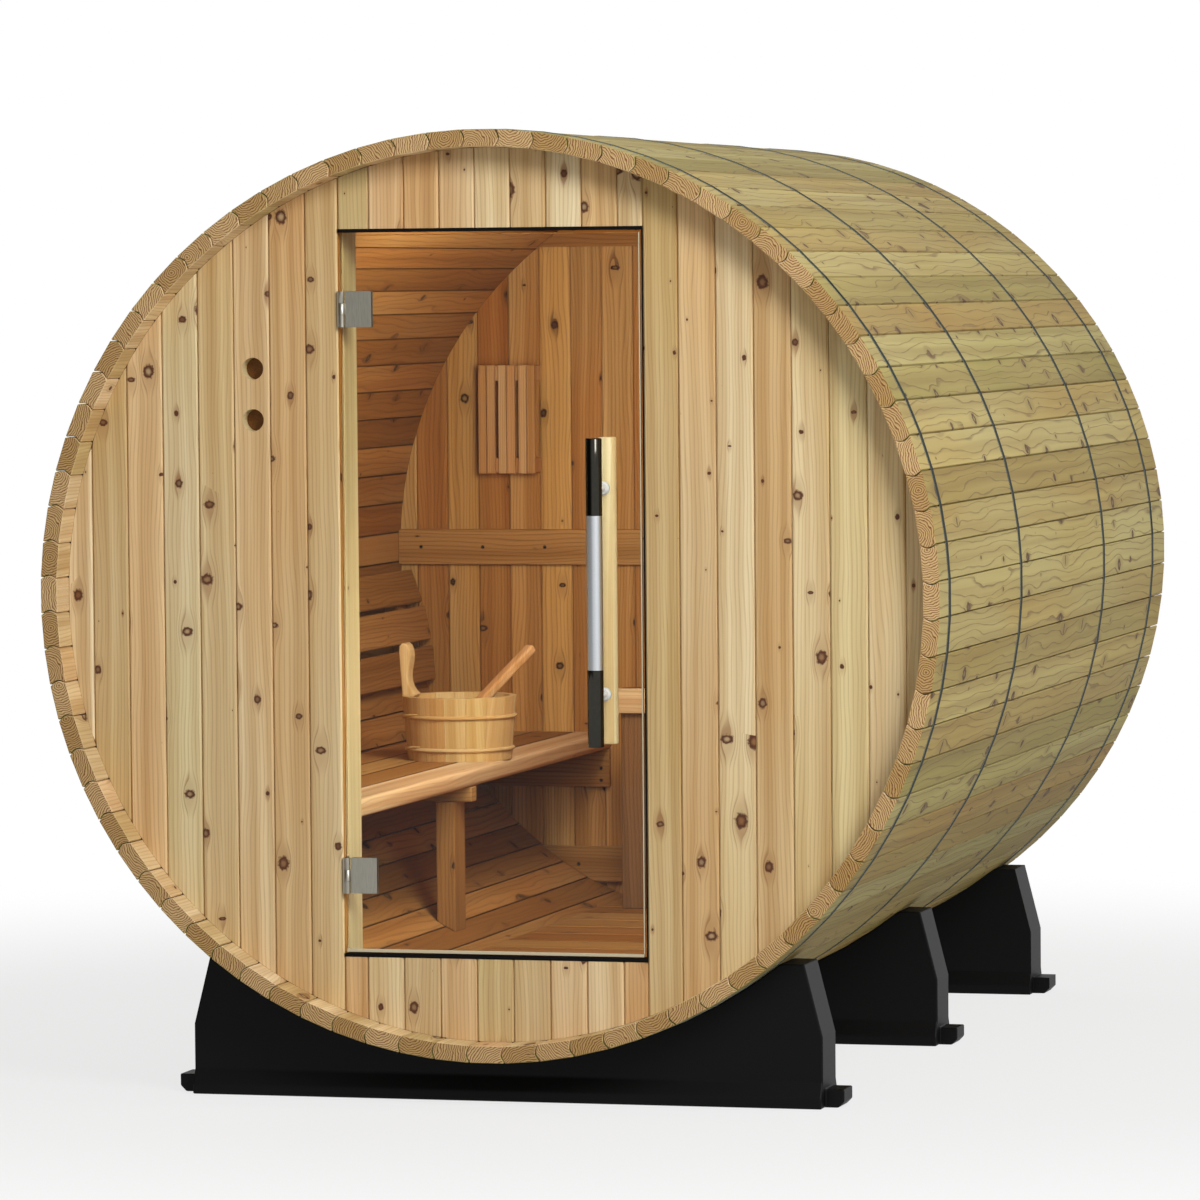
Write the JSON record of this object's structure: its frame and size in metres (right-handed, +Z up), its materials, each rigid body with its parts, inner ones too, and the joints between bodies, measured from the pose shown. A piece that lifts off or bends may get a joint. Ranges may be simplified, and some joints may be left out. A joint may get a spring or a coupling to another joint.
{
  "type": "barrel sauna",
  "caption": "Barrel sauna cabin lying on moulded cradles, with stave shell, board end walls, hinged glass door, bench, backrest and bucket inside.",
  "frame": {"origin": "on the ground under the barrel axis, halfway along the barrel", "axes": "+X to the right seen from the front, +Y along the barrel from the door wall to the rear wall, +Z up"},
  "size_m": [1.832, 2.445, 1.9205],
  "materials": {
    "cedar_staves": "planed cedar, weathered olive tan",
    "cedar_wall": "planed cedar boards",
    "cedar_fittings": "planed cedar, warm brown",
    "shade_wood": "planed cedar slats",
    "bucket_wood": "smooth pale pine",
    "handle_wood": "smooth pale hardwood",
    "band_steel": "dark coated steel strip",
    "cradle_polymer": "satin black moulded polymer",
    "liner_rubber": "black sealing strip",
    "door_glass": "clear tempered glass",
    "hinge_steel": "brushed stainless steel",
    "handle_steel": "polished ends, satin middle",
    "spacer_polymer": "white washer and spacer"
  },
  "bodies": {
    "cabin": {"backrest": "cedar_fittings", "backrest_supports": "cedar_fittings", "bench_beams": "cedar_fittings", "bench_front_board": "cedar_fittings", "bench_ledger_front": "cedar_fittings", "bench_ledger_rear": "cedar_fittings", "bench_legs": "cedar_fittings", "bench_seat": "cedar_fittings", "bucket": "bucket_wood", "cradle_front": "cradle_polymer", "cradle_middle": "cradle_polymer", "cradle_rear": "cradle_polymer", "doorway_liner": "liner_rubber", "doorway_post_left": "cedar_fittings", "doorway_post_right": "cedar_fittings", "floor_grate": "cedar_fittings", "front_wall_head": "cedar_wall", "front_wall_left": "cedar_wall", "front_wall_right": "cedar_wall", "front_wall_sill": "cedar_wall", "guard_post_left": "cedar_fittings", "guard_post_right": "cedar_fittings", "guard_rail": "cedar_fittings", "hinge_wall_leaf_lower": "hinge_steel", "hinge_wall_leaf_upper": "hinge_steel", "ladle": "bucket_wood", "lamp_shade": "shade_wood", "rear_batten_bottom": "cedar_fittings", "rear_batten_middle": "cedar_fittings", "rear_batten_top": "cedar_fittings", "rear_wall": "cedar_wall", "stave_panel_01": "cedar_staves", "stave_panel_02": "cedar_staves", "stave_panel_03": "cedar_staves", "stave_panel_04": "cedar_staves", "stave_panel_05": "cedar_staves", "stave_panel_06": "cedar_staves", "stave_panel_07": "cedar_staves", "stave_panel_08": "cedar_staves", "stave_panel_09": "cedar_staves", "stave_panel_10": "cedar_staves", "steel_band_1": "band_steel", "steel_band_2": "band_steel", "steel_band_3": "band_steel", "steel_band_4": "band_steel"},
    "door": {"door_glass": "door_glass", "handle_bar": "handle_wood", "handle_spacers": "spacer_polymer", "handle_tube": "handle_steel", "hinge_door_leaf_lower": "hinge_steel", "hinge_door_leaf_upper": "hinge_steel"}
  },
  "joints": [
    {"name": "door_hinge", "type": "hinge", "parent": "cabin", "child": "door", "pos_m": [-0.3015, -1.1545, 1], "axis": [0, 0, -1], "range_deg": [0, 110]}
  ]
}
